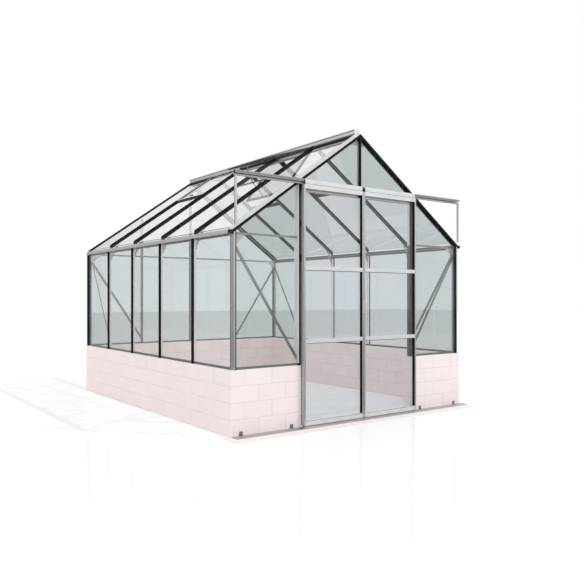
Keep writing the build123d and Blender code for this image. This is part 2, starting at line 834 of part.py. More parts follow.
with BuildPart() as track_end_rods:
    for side, hand in SIDES:
        slab(inward(side, end_rod_inset), inward(side, end_rod_inset + end_rod_width),
             front - end_rod_setback - end_rod_depth, front - end_rod_setback,
             eaves_height + end_rod_foot, track_foot)
track_end_rods.part.label = "track_end_rods"
export_step(track_end_rods.part, "parts/track_end_rods.step")

with BuildPart() as bottom_rail:
    with BuildSketch(Plane.YZ) as section:
        with BuildLine():
            Polyline(
                (front - rail_front, kerb_height), (front - rail_front, kerb_height + rail_nose),
                (front - rail_back - rail_flat, rail_top), (front - rail_back, rail_top),
                (front - rail_back, kerb_height), close=True,
            )
        make_face()
    extrude(section.sketch, amount=wall_half + rail_overhang, both=True)
bottom_rail.part.label = "bottom_rail"
export_step(bottom_rail.part, "parts/bottom_rail.step")

with BuildPart() as rail_brackets:
    for side, hand in SIDES:
        for distance in (bracket_outer, bracket_inner):
            x = inward(side, distance)
            slab(x - bracket_width / 2, x + bracket_width / 2, front - bracket_thickness, front,
                 kerb_height, kerb_height + bracket_height)
            slab(x - bracket_width / 2, x + bracket_width / 2, front - rail_back, front,
                 kerb_height, kerb_height + bracket_thickness)
rail_brackets.part.label = "rail_brackets"
export_step(rail_brackets.part, "parts/rail_brackets.step")
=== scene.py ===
import bpy
import bmesh
from math import cos, sin, tan, radians, pi
from random import Random
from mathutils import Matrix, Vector


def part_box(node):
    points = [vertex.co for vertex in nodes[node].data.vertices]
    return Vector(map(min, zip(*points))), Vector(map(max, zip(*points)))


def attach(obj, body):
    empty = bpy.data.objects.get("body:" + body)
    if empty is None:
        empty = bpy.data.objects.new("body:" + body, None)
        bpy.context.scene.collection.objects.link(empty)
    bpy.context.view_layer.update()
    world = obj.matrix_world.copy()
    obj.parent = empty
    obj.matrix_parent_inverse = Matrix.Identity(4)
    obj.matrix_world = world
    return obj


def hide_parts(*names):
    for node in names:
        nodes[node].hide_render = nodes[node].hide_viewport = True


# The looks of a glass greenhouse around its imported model, in metres.
# X runs to the right of someone who faces the doors, Y into the house, Z up.

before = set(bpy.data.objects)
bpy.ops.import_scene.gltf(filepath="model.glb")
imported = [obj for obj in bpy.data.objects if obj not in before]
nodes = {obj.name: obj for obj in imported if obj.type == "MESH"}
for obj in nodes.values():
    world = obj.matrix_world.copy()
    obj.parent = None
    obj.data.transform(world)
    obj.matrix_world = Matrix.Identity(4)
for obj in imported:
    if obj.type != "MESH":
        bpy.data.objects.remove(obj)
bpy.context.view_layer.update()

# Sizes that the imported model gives

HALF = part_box("right_wall_bars")[1].x           # to the outer faces of the side bars
WALL_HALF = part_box("right_wall")[1].x           # to the outer faces of the block walls
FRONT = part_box("left_wall")[0].y
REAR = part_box("left_wall")[1].y
WALL_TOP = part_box("left_wall")[1].z
SILL_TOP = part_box("wall_sills")[1].z
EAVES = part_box("left_wall_bars")[1].z
DOORWAY = -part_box("front_wall_left")[1].x
HEADER_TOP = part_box("door_header")[1].z
RIDGE_LOW, RIDGE_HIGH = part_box("ridge_beam")
WALL_THICKNESS = WALL_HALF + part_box("left_wall")[1].x
DOOR_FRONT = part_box("left_door_stiles")[0].y
DOOR_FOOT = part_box("left_door_stiles")[0].z
DOOR_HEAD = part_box("left_door_stiles")[1].z
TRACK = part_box("top_track")
KERB_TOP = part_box("rail_brackets")[0].z

# Sizes of the frame's sections

SLOPE = radians(35)
GLASS_RISE = 0.037          # of the roof glass above the eaves, over the side bars' outer faces
ROOF_SETBACK = 0.032        # from those faces in to the roof bars' lower ends
BAR_WIDTH = 0.020
GLASS_FRONT = 0.021
GLASS_BACK = 0.025
BAR_DEPTH = 0.045
BAY = 0.740
BAYS = 5
DOOR_POST = 0.775
REAR_POST = (HALF - BAR_WIDTH / 2) / 2
RIDGE_HALF = 0.030
GASKET_FOOT = -0.035

GLASS_LINE = EAVES + GLASS_RISE
APEX = GLASS_LINE + HALF * tan(SLOPE)

X_AXIS, Y_AXIS, Z_AXIS = Vector((1, 0, 0)), Vector((0, 1, 0)), Vector((0, 0, 1))
SIDES = ((-1, "left"), (1, "right"))
OUTLINE_ANGLE = radians(40)
FILM = 0.0006                # how far a thin strip, such as a sheet of painted shade or light, stands off the face it lies on
GROOVE_SINK = 0.0004
RAFTER_DEPTH = 0.062         # of a gable rafter, inwards from its gable
HEADER_HEIGHT = 0.055
DOOR_DEPTH = 0.040
FACING = 0.0015              # thickness of the doorway's sheets of painted shade

rng = Random(7)


def bar_y(number):
    """The y of a glazing bar's centre, counted from the front corner."""
    return FRONT + number * BAY + BAR_WIDTH / 2


def roof_z(x, above=0.0):
    """The height of the roof over a place, at a distance above its glass."""
    return GLASS_LINE + (HALF - abs(x)) * tan(SLOPE) + above / cos(SLOPE)


# Materials


class Shader:
    """Builds one node material."""

    def __init__(self, name):
        self.material = bpy.data.materials.new(name)
        self.material.use_nodes = True
        self.tree = self.material.node_tree
        self.tree.nodes.clear()
        self.output = self.node("ShaderNodeOutputMaterial")

    def node(self, kind, **settings):
        made = self.tree.nodes.new(kind)
        for key, value in settings.items():
            if hasattr(made, key) and key not in made.inputs:
                setattr(made, key, value)
            else:
                made.inputs[key].default_value = value
        return made

    def link(self, source, target):
        self.tree.links.new(source, target)

    def coords(self, scale):
        where = self.node("ShaderNodeTexCoord")
        mapping = self.node("ShaderNodeMapping")
        mapping.inputs["Scale"].default_value = scale
        self.link(where.outputs["Object"], mapping.inputs["Vector"])
        return mapping.outputs["Vector"]

    def noise(self, vector, scale, detail=3.0):
        made = self.node("ShaderNodeTexNoise")
        made.inputs["Scale"].default_value = scale
        made.inputs["Detail"].default_value = detail
        self.link(vector, made.inputs["Vector"])
        return made.outputs["Fac"]

    def ramp(self, source, low, high, low_colour, high_colour):
        made = self.node("ShaderNodeValToRGB")
        made.color_ramp.elements[0].position = low
        made.color_ramp.elements[1].position = high
        made.color_ramp.elements[0].color = (*low_colour, 1)
        made.color_ramp.elements[1].color = (*high_colour, 1)
        self.link(source, made.inputs["Fac"])
        return made.outputs["Color"]

    def span(self, source, low, high):
        """A value between low and high, from a source between 0.3 and 0.7."""
        made = self.node("ShaderNodeMapRange")
        made.inputs["From Min"].default_value = 0.3
        made.inputs["From Max"].default_value = 0.7
        made.inputs["To Min"].default_value = low
        made.inputs["To Max"].default_value = high
        self.link(source, made.inputs["Value"])
        return made.outputs["Result"]

    def math(self, operation, first, second=None):
        made = self.node("ShaderNodeMath", operation=operation)
        for socket, value in zip(made.inputs, (first, second)):
            if value is None:
                continue
            if isinstance(value, (int, float)):
                socket.default_value = value
            else:
                self.link(value, socket)
        return made.outputs[0]

    def bump(self, height, strength, distance):
        made = self.node("ShaderNodeBump")
        made.inputs["Strength"].default_value = strength
        made.inputs["Distance"].default_value = distance
        self.link(height, made.inputs["Height"])
        return made.outputs["Normal"]


def aluminium(name, stretch, colour=(0.80, 0.805, 0.81), rough=(0.30, 0.42), metallic=1.0):
    """Mill-finish extrusion: die lines along its length, and a faint mottle."""
    s = Shader(name)
    body = s.node("ShaderNodeBsdfPrincipled", Metallic=metallic)
    lines = s.noise(s.coords(stretch), 1.0, 4.0)
    mottle = s.noise(s.coords((1, 1, 1)), 9.0, 5.0)
    dull = tuple(part * 0.93 for part in colour)
    s.link(s.ramp(mottle, 0.35, 0.68, dull, colour), body.inputs["Base Color"])
    s.link(s.span(lines, *rough), body.inputs["Roughness"])
    s.link(s.bump(lines, 0.12, 0.0004), body.inputs["Normal"])
    s.link(body.outputs["BSDF"], s.output.inputs["Surface"])
    return s.material


def painted_shade_aluminium(name, colour, dark, read, edge, width, rough=(0.38, 0.5), metallic=0.7):
    """Aluminium with painted shade: a darker tone where a coordinate of the surface is under an
    edge.
    """
    s = Shader(name)
    body = s.node("ShaderNodeBsdfPrincipled", Metallic=metallic)
    where = s.node("ShaderNodeTexCoord")
    parts = s.node("ShaderNodeSeparateXYZ")
    kind, axis, unsigned = read
    s.link(where.outputs[kind], parts.inputs["Vector"])
    place = parts.outputs[axis]
    if unsigned:
        place = s.math("ABSOLUTE", place)
    share = s.node("ShaderNodeMapRange")
    share.inputs["From Min"].default_value = edge - width
    share.inputs["From Max"].default_value = edge + width
    s.link(place, share.inputs["Value"])
    mottle = s.noise(s.coords((1, 1, 1)), 9.0, 5.0)
    tones = [s.ramp(mottle, 0.35, 0.68, tuple(part * 0.93 for part in tone), tone)
             for tone in (dark, colour)]
    mixed = s.node("ShaderNodeMix", data_type="RGBA")
    s.link(share.outputs["Result"], mixed.inputs["Factor"])
    s.link(tones[0], mixed.inputs[6])
    s.link(tones[1], mixed.inputs[7])
    s.link(mixed.outputs[2], body.inputs["Base Color"])
    grain = s.noise(s.coords(FINE), 1.0, 4.0)
    s.link(s.span(grain, *rough), body.inputs["Roughness"])
    s.link(s.bump(grain, 0.12, 0.0004), body.inputs["Normal"])
    s.link(body.outputs["BSDF"], s.output.inputs["Surface"])
    return s.material


def rubber(name, colour, rough):
    """Black rubber or plastic with a fine grain and a little dust."""
    s = Shader(name)
    body = s.node("ShaderNodeBsdfPrincipled")
    grain = s.noise(s.coords((1, 1, 1)), 420.0, 2.0)
    dust = s.noise(s.coords((1, 1, 1)), 6.0, 5.0)
    dusty = tuple(part * 1.7 + 0.004 for part in colour)
    s.link(s.ramp(dust, 0.4, 0.75, colour, dusty), body.inputs["Base Color"])
    s.link(s.span(dust, rough, rough + 0.12), body.inputs["Roughness"])
    body.inputs["Specular IOR Level"].default_value = 0.2
    s.link(s.bump(grain, 0.25, 0.0003), body.inputs["Normal"])
    s.link(body.outputs["BSDF"], s.output.inputs["Surface"])
    return s.material


LAMP_TINT = (0.985, 0.99, 0.99)         # of what lamps and scattered light pass


def pane_glass(name, tint):
    """Horticultural glass: clear, with a tint for its place, and it lets lamps through. Past the
    glass's own faint tint, that tint holds painted shade of what shows through the pane.
    """
    s = Shader(name)
    body = s.node("ShaderNodeBsdfPrincipled", Metallic=0.0)
    body.inputs["Base Color"].default_value = (*tint, 1)
    body.inputs["Roughness"].default_value = 0.0
    body.inputs["IOR"].default_value = 1.48
    body.inputs["Transmission Weight"].default_value = 1.0
    waves = s.noise(s.coords((1, 1, 1)), 2.2, 1.0)
    s.link(s.bump(waves, 0.05, 0.002), body.inputs["Normal"])
    clear = s.node("ShaderNodeBsdfTransparent")
    clear.inputs["Color"].default_value = (*LAMP_TINT, 1)
    path = s.node("ShaderNodeLightPath")
    through = s.math("MAXIMUM", path.outputs["Is Shadow Ray"], path.outputs["Is Diffuse Ray"])
    mix = s.node("ShaderNodeMixShader")
    s.link(through, mix.inputs["Fac"])
    s.link(body.outputs["BSDF"], mix.inputs[1])
    s.link(clear.outputs["BSDF"], mix.inputs[2])
    s.link(mix.outputs["Shader"], s.output.inputs["Surface"])
    return s.material


def masonry(name, pale, deep, grain_scale, grain_depth):
    """Fired clay or mortar: a tone for each block, mottle, pores and a rough face."""
    s = Shader(name)
    body = s.node("ShaderNodeBsdfPrincipled")
    tone = s.node("ShaderNodeAttribute", attribute_name="tone")
    mottle = s.noise(s.coords((1, 1, 1)), 7.0, 6.0)
    mixed = s.math("ADD", s.math("MULTIPLY", tone.outputs["Fac"], 0.3),
                   s.math("MULTIPLY", mottle, 0.7))
    s.link(s.ramp(mixed, 0.22, 0.72, deep, pale), body.inputs["Base Color"])
    grain = s.noise(s.coords((1, 1, 1)), grain_scale, 6.0)
    s.link(s.span(grain, 0.82, 0.95), body.inputs["Roughness"])
    body.inputs["Specular IOR Level"].default_value = 0.25
    s.link(s.bump(grain, 0.35, grain_depth), body.inputs["Normal"])
    s.link(body.outputs["BSDF"], s.output.inputs["Surface"])
    return s.material


ALONG_X, ALONG_Y, ALONG_Z, FINE = (4, 900, 900), (900, 4, 900), (900, 900, 4), (160, 160, 160)
# Greys of painted shade for aluminium: half shade, shade and deep shade.
HALF_SHADE_GREY, SHADE_GREY, DEEP_SHADE_GREY = (0.50, 0.505, 0.51), (0.25, 0.255, 0.26), (0.07, 0.072, 0.075)
# One mill aluminium in lit and shaded copies. The first keeps its plain colour. Paler base colours
# are painted light and greyer ones painted shade, set for where their parts stand.
ALU_X = aluminium("aluminium_along_x", ALONG_X)
ALU_Y = aluminium("aluminium_along_y", ALONG_Y, (0.87, 0.875, 0.88))
ALU_Z = aluminium("aluminium_along_z", ALONG_Z, (0.66, 0.665, 0.67))
ALU_PLAIN = aluminium("aluminium_plain", FINE, (0.72, 0.725, 0.73))
ALU_LIT_PALE = aluminium("aluminium_lit_pale", (140, 140, 140), (0.86, 0.86, 0.86), (0.38, 0.5), 0.6)
ALU_TRACK_SHADE = aluminium("aluminium_track_shade", ALONG_X, HALF_SHADE_GREY)
ALU_SHADE = aluminium("aluminium_shaded", FINE, SHADE_GREY, (0.4, 0.5), 0.7)
ALU_DEEP_SHADE = aluminium("aluminium_deep_shade", FINE, DEEP_SHADE_GREY, (0.4, 0.5), 0.7)
ALU_SOFT_LIT = aluminium("aluminium_soft_lit", FINE, (0.93, 0.93, 0.93), (0.45, 0.55), 0.2)
ALU_MATT_SHADE = aluminium("aluminium_matt_shade", FINE, (0.47, 0.475, 0.48), (0.5, 0.6), 0.3)
# Painted shade: the vent frames are dark grey on every face that does not face up.
VENT_METAL_SHADED_SIDES = painted_shade_aluminium("aluminium_vents_shaded_sides", (0.78, 0.785, 0.79), (0.10, 0.102, 0.106),
                              ("Normal", "Z", False), 0.70, 0.05)
# Painted shade: the gusset plates are pale at the two gables, where |y| is over 1.60 m, and mid
# grey between them.
PLATE_METAL_SHADED_MID = painted_shade_aluminium("aluminium_plates_shaded_mid", (0.86, 0.86, 0.86), HALF_SHADE_GREY,
                               ("Object", "Y", True), 1.60, 0.01)
STEEL = aluminium("bolt_steel", (260, 260, 260), (0.62, 0.62, 0.61), (0.26, 0.4))
RUBBER = rubber("rubber_black", (0.006, 0.006, 0.0065), 0.6)
PLASTIC = rubber("plastic_black", (0.016, 0.016, 0.017), 0.36)
# The panes differ in tint by place. Past the glass's own faint tint, the differences are painted
# shade of what shows through them, darkest at the front gable.
GLASS = pane_glass("glass_pane", (0.92, 0.93, 0.93))
DOOR_GLASS = pane_glass("glass_door", (0.815, 0.82, 0.835))
GABLE_GLASS = pane_glass("glass_gable", (0.75, 0.77, 0.765))
ROOF_GLASS = pane_glass("glass_roof", (0.95, 0.96, 0.955))
FAR_ROOF_GLASS = pane_glass("glass_roof_far", (0.83, 0.84, 0.835))
CLAY = masonry("clay_block", (0.925, 0.835, 0.828), (0.90, 0.80, 0.79), 160.0, 0.0012)
MORTAR = masonry("mortar_joint", (0.83, 0.70, 0.695), (0.78, 0.645, 0.645), 260.0, 0.0012)
KERB = masonry("kerb_render", (0.93, 0.865, 0.86), (0.90, 0.82, 0.815), 190.0, 0.001)

# Mesh pieces


class Piece:
    """Collects solids into one mesh piece."""

    def __init__(self):
        self.bm = bmesh.new()
        self.tone = self.bm.faces.layers.float.new("tone")

    def prism(self, low_ring, high_ring, tone=0.5):
        """A closed solid between two rings of as many points."""
        low = [self.bm.verts.new(point) for point in low_ring]
        high = [self.bm.verts.new(point) for point in high_ring]
        count = len(low)
        made = [self.bm.faces.new(low[::-1]), self.bm.faces.new(high)]
        for index in range(count):
            after = (index + 1) % count
            made.append(self.bm.faces.new((low[index], low[after], high[after], high[index])))
        for face in made:
            face[self.tone] = tone
        return made

    def box(self, x_low, x_high, y_low, y_high, z_low, z_high, tone=0.5):
        ring = ((x_low, y_low), (x_high, y_low), (x_high, y_high), (x_low, y_high))
        return self.prism([(x, y, z_low) for x, y in ring], [(x, y, z_high) for x, y in ring], tone)

    def rod(self, centre, axis, radius, length, sides=16):
        """A round or many-sided rod, from its centre out along an axis."""
        axis = axis.normalized()
        across = axis.orthogonal().normalized()
        other = axis.cross(across)
        turns = [2 * pi * k / sides for k in range(sides)]
        ring = [centre + (across * cos(turn) + other * sin(turn)) * radius for turn in turns]
        return self.prism(ring, [point + axis * length for point in ring])

    def bolt(self, centre, axis, size=0.010, height=0.004):
        """A hexagon bolt head on its washer."""
        self.rod(centre, axis, size * 0.75, 0.0012, 20)
        self.rod(centre + axis.normalized() * 0.0012, axis, size / 2 / cos(pi / 6), height, 6)

    def screw(self, centre, axis, radius=0.0045):
        """A round screw head with a stepped rim."""
        self.rod(centre, axis, radius, 0.0012, 16)
        self.rod(centre + axis.normalized() * 0.0012, axis, radius * 0.72, 0.0008, 16)

    def done(self, name, material, body, slot, bevel=0.0, segments=1, replaces=()):
        bmesh.ops.recalc_face_normals(self.bm, faces=self.bm.faces)
        mesh = bpy.data.meshes.new(name)
        self.bm.to_mesh(mesh)
        self.bm.free()
        piece = bpy.data.objects.new(name, mesh)
        bpy.context.scene.collection.objects.link(piece)
        mesh.materials.append(material)
        if bevel:
            edge = piece.modifiers.new("edges", "BEVEL")
            edge.width = bevel
            edge.segments = segments
            edge.limit_method = "ANGLE"
            edge.angle_limit = OUTLINE_ANGLE
            edge.use_clamp_overlap = True
        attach(piece, body)
        if replaces:
            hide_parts(*replaces)
        piece.visible_shadow = material not in (CLAY, MORTAR)
        return piece


def dress(material, *names):
    """Gives CAD nodes their material."""
    for name in names:
        mesh = nodes[name].data
        mesh.materials.clear()
        mesh.materials.append(material)


# Block walls: real blocks with recessed joints

COURSES = 4
JOINT = 0.007
MODULE = 0.2975
FRONT_MODULE = 0.297         # of the first block beside a corner of the front wall
REAR_MODULE = 0.3055         # near this in the rear wall, in whole blocks
RECESS = 0.0018
BLOCK_EDGE = 0.0016
course_height = WALL_TOP / COURSES
quoin = WALL_THICKNESS + JOINT / 2


def joints_between(start, end, first):
    """The joints of a course from its start to its end, the first at a distance from the start."""
    direction = 1 if end > start else -1
    length = abs(end - start)
    places, at = [start], first
    while at < length - MODULE * 0.55:
        places.append(start + direction * at)
        at += MODULE
    return places + [end]


def course(piece, places, z_low, place_box):
    """Lays one course between its joints."""
    for near, far in zip(places, places[1:]):
        low, high = sorted((near, far))
        low_gap = 0 if low in (places[0], places[-1]) else JOINT / 2
        high_gap = 0 if high in (places[0], places[-1]) else JOINT / 2
        shy = rng.uniform(0, 0.0006)
        place_box(piece, low + low_gap, high - high_gap, z_low, z_low + course_height - JOINT,
                  shy, rng.random())


def side_box(side):
    def lay(piece, low, high, z_low, z_high, shy, tone):
        inner, outer = side * (WALL_HALF - WALL_THICKNESS + shy), side * (WALL_HALF - shy)
        piece.box(min(inner, outer), max(inner, outer), low, high, z_low, z_high, tone)
    return lay


def gable_box(outer, inwards):
    def lay(piece, low, high, z_low, z_high, shy, tone):
        near, far = outer + inwards * shy, outer + inwards * (WALL_THICKNESS - shy)
        piece.box(low, high, min(near, far), max(near, far), z_low, z_high, tone)
    return lay


for side, hand in SIDES:
    side_blocks, front_blocks = Piece(), Piece()
    for number in range(COURSES):
        z_low = number * course_height + JOINT
        through = number % 2 == 1
        if through:
            course(side_blocks, joints_between(FRONT, REAR - quoin, MODULE), z_low, side_box(side))
            course(front_blocks, joints_between(side * (WALL_HALF - quoin), side * DOORWAY, MODULE),
                   z_low, gable_box(FRONT, 1))
        else:
            course(side_blocks, joints_between(REAR, FRONT + quoin, MODULE), z_low, side_box(side))
            course(front_blocks, joints_between(side * WALL_HALF, side * DOORWAY, FRONT_MODULE),
                   z_low, gable_box(FRONT, 1))
    side_blocks.done(f"{hand}_wall_blocks", CLAY, "house", "pink_block", BLOCK_EDGE, 2,
                     (f"{hand}_wall",))
    front_blocks.done(f"front_blocks_{hand}", CLAY, "house", "pink_block", BLOCK_EDGE, 2,
                      (f"front_wall_{hand}",))

rear_blocks = Piece()
for number in range(COURSES):
    z_low = number * course_height + JOINT
    ends = WALL_HALF if number % 2 == 1 else WALL_HALF - quoin
    count = round(2 * ends / REAR_MODULE)
    places = [-ends + 2 * ends * k / count for k in range(count + 1)]
    course(rear_blocks, places, z_low, gable_box(REAR, -1))
rear_blocks.done("rear_wall_blocks", CLAY, "house", "pink_block", BLOCK_EDGE, 2, ("rear_wall",))

mortar = Piece()
for side, hand in SIDES:
    x_outer, x_inner = side * (WALL_HALF - RECESS), side * (WALL_HALF - WALL_THICKNESS + RECESS)
    mortar.box(min(x_outer, x_inner), max(x_outer, x_inner), FRONT + RECESS, REAR - RECESS,
               0, WALL_TOP - 0.001)
    near, far = side * (DOORWAY + RECESS), side * (WALL_HALF - WALL_THICKNESS + RECESS)
    mortar.box(min(near, far), max(near, far), FRONT + RECESS, FRONT + WALL_THICKNESS - RECESS,
               0, WALL_TOP - 0.001)
mortar.box(-WALL_HALF + WALL_THICKNESS - RECESS, WALL_HALF - WALL_THICKNESS + RECESS,
           REAR - WALL_THICKNESS + RECESS, REAR - RECESS, 0, WALL_TOP - 0.001)
mortar.done("wall_mortar", MORTAR, "house", "pink_block")

# Glazing bars: a web, and a stem with a bolt channel on its inner face, under a rubber cap

BAR_SECTION = [
    (-0.006, -0.003), (0.006, -0.003), (0.006, -0.025), (0.010, -0.025), (0.010, -0.045),
    (0.004, -0.045), (0.004, -0.0425), (0.0068, -0.0425), (0.0068, -0.033), (-0.0068, -0.033),
    (-0.0068, -0.0425), (-0.004, -0.0425), (-0.004, -0.045), (-0.010, -0.045), (-0.010, -0.025),
    (-0.006, -0.025),
]
CAP_SECTION = [
    (-0.010, -0.003), (-0.010, -0.0012), (-0.0065, 0.0), (0.0065, 0.0), (0.010, -0.0012),
    (0.010, -0.003),
]
ROOF_CAP_SECTION = [
    (-0.010, -0.008), (-0.010, -0.0012), (-0.0065, 0.0), (0.0065, 0.0), (0.010, -0.0012),
    (0.010, -0.008), (0.0061, -0.008), (0.0061, -0.0028), (-0.0061, -0.0028), (-0.0061, -0.008),
]
FOOT_SECTION = [
    (-0.010, -0.021), (-0.010, -0.0012), (-0.0065, 0.0), (0.0065, 0.0), (0.010, -0.0012),
    (0.010, -0.021),
]
JAMB_SECTION = [
    (-0.010, -0.045), (0.010, -0.045), (0.010, -0.056), (0.008, -0.056), (0.008, -0.058),
    (0.010, -0.058), (0.010, -0.070), (0.008, -0.070), (0.008, -0.072), (0.010, -0.072),
    (0.010, -0.085), (-0.010, -0.085), (-0.010, -0.072), (-0.008, -0.072), (-0.008, -0.070),
    (-0.010, -0.070), (-0.010, -0.058), (-0.008, -0.058), (-0.008, -0.056), (-0.010, -0.056),
]


def upright(piece, section, x, y, out, z_low, z_high):
    """A section that stands between two heights, or under the roof where z_high is None."""
    across = Z_AXIS.cross(out)
    foot = [Vector((x, y, z_low)) + across * u + out * v for u, v in section]
    head = [Vector((p.x, p.y, z_high if z_high is not None else roof_z(p.x, GASKET_FOOT)))
            for p in foot]
    piece.prism(foot, head)


def roof_member(piece, section, side, y, x_low, x_high, base):
    """A section that runs down a slope between two places, at a height above the glass."""
    rings = [[(side * x, y + u, roof_z(x, base + v)) for u, v in section] for x in (x_low, x_high)]
    piece.prism(*rings)


for side, hand in SIDES:
    bars, caps = Piece(), Piece()
    out = X_AXIS * side
    for number in range(1, BAYS):
        for piece, section in ((bars, BAR_SECTION), (caps, CAP_SECTION)):
            upright(piece, section, side * HALF, bar_y(number), out, SILL_TOP, EAVES)
        upright(caps, FOOT_SECTION, side * HALF, bar_y(number), out, WALL_TOP, SILL_TOP)
    # Painted light: the side bars take the palest aluminium.
    bars.done(f"{hand}_wall_profiles", ALU_SOFT_LIT, "house", "aluminium",
              replaces=(f"{hand}_wall_bars",))
    caps.done(f"{hand}_wall_caps", RUBBER, "house", "black_rubber")

    bars, caps = Piece(), Piece()
    for number in range(1, BAYS):
        for piece, section in ((bars, BAR_SECTION), (caps, ROOF_CAP_SECTION)):
            roof_member(piece, section, side, bar_y(number), RIDGE_HALF, HALF - ROOF_SETBACK,
                        GLASS_FRONT)
    # Painted shade: the roof bars take a near-black aluminium.
    bars.done(f"{hand}_roof_profiles", ALU_DEEP_SHADE, "house", "aluminium",
              replaces=(f"{hand}_roof_bars",))
    caps.done(f"{hand}_roof_caps", RUBBER, "house", "black_rubber")

gable_bars, gable_caps = Piece(), Piece()
for piece, section in ((gable_bars, BAR_SECTION), (gable_caps, CAP_SECTION)):
    for x in (-REAR_POST, 0, REAR_POST):
        upright(piece, section, x, REAR, Y_AXIS, SILL_TOP, None)
for x in (-REAR_POST, 0, REAR_POST):
    upright(gable_caps, FOOT_SECTION, x, REAR, Y_AXIS, WALL_TOP, SILL_TOP)
gable_bars.done("rear_gable_profiles", ALU_Z, "house", "aluminium", replaces=("rear_gable_posts",))
gable_caps.done("rear_gable_caps", RUBBER, "house", "black_rubber")

gable_bars, gable_caps, jambs = Piece(), Piece(), Piece()
for piece, section in ((gable_bars, BAR_SECTION), (gable_caps, CAP_SECTION)):
    for side, hand in SIDES:
        upright(piece, section, side * DOOR_POST, FRONT, -Y_AXIS, SILL_TOP, None)
    upright(piece, section, 0, FRONT, -Y_AXIS, HEADER_TOP, None)
for side, hand in SIDES:
    upright(gable_caps, FOOT_SECTION, side * DOOR_POST, FRONT, -Y_AXIS, WALL_TOP, SILL_TOP)
    upright(jambs, JAMB_SECTION, side * DOOR_POST, FRONT, -Y_AXIS, WALL_TOP, HEADER_TOP)
# Painted light: the jambs take the palest aluminium.
jambs.done("door_jambs", ALU_SOFT_LIT, "house", "aluminium")
gable_bars.done("front_gable_profiles", ALU_Z, "house", "aluminium",
                replaces=("front_gable_posts",))
gable_caps.done("front_gable_caps", RUBBER, "house", "black_rubber")

# Small things on the CAD nodes

LOW_RAIL, MID_RAIL, RAIL_HEIGHT = 0.797, 1.494, 0.042
TOP_RAIL = 0.038
KICK_RAIL = 0.045
STILE = 0.018
MEETING = 0.0025
GUSSET_DROP, GUSSET_RUN = 0.110, 0.108
INSIDE = HALF - BAR_DEPTH       # to the inner faces of the side bars


def span_box(piece, x_first, x_second, y_low, y_high, z_low, z_high):
    """A box whose two x places may come in either order."""
    piece.box(min(x_first, x_second), max(x_first, x_second), y_low, y_high, z_low, z_high)


def ribs(piece, x_first, x_second, face, z_low, z_high, count):
    """Raised lines along a rail's front face, spread between two heights."""
    pitch = (z_high - z_low) / count
    for number in range(count):
        z = z_low + (number + 0.5) * pitch
        span_box(piece, x_first, x_second, face - 0.0012, face + 0.0005,
                 z - pitch * 0.2, z + pitch * 0.2)


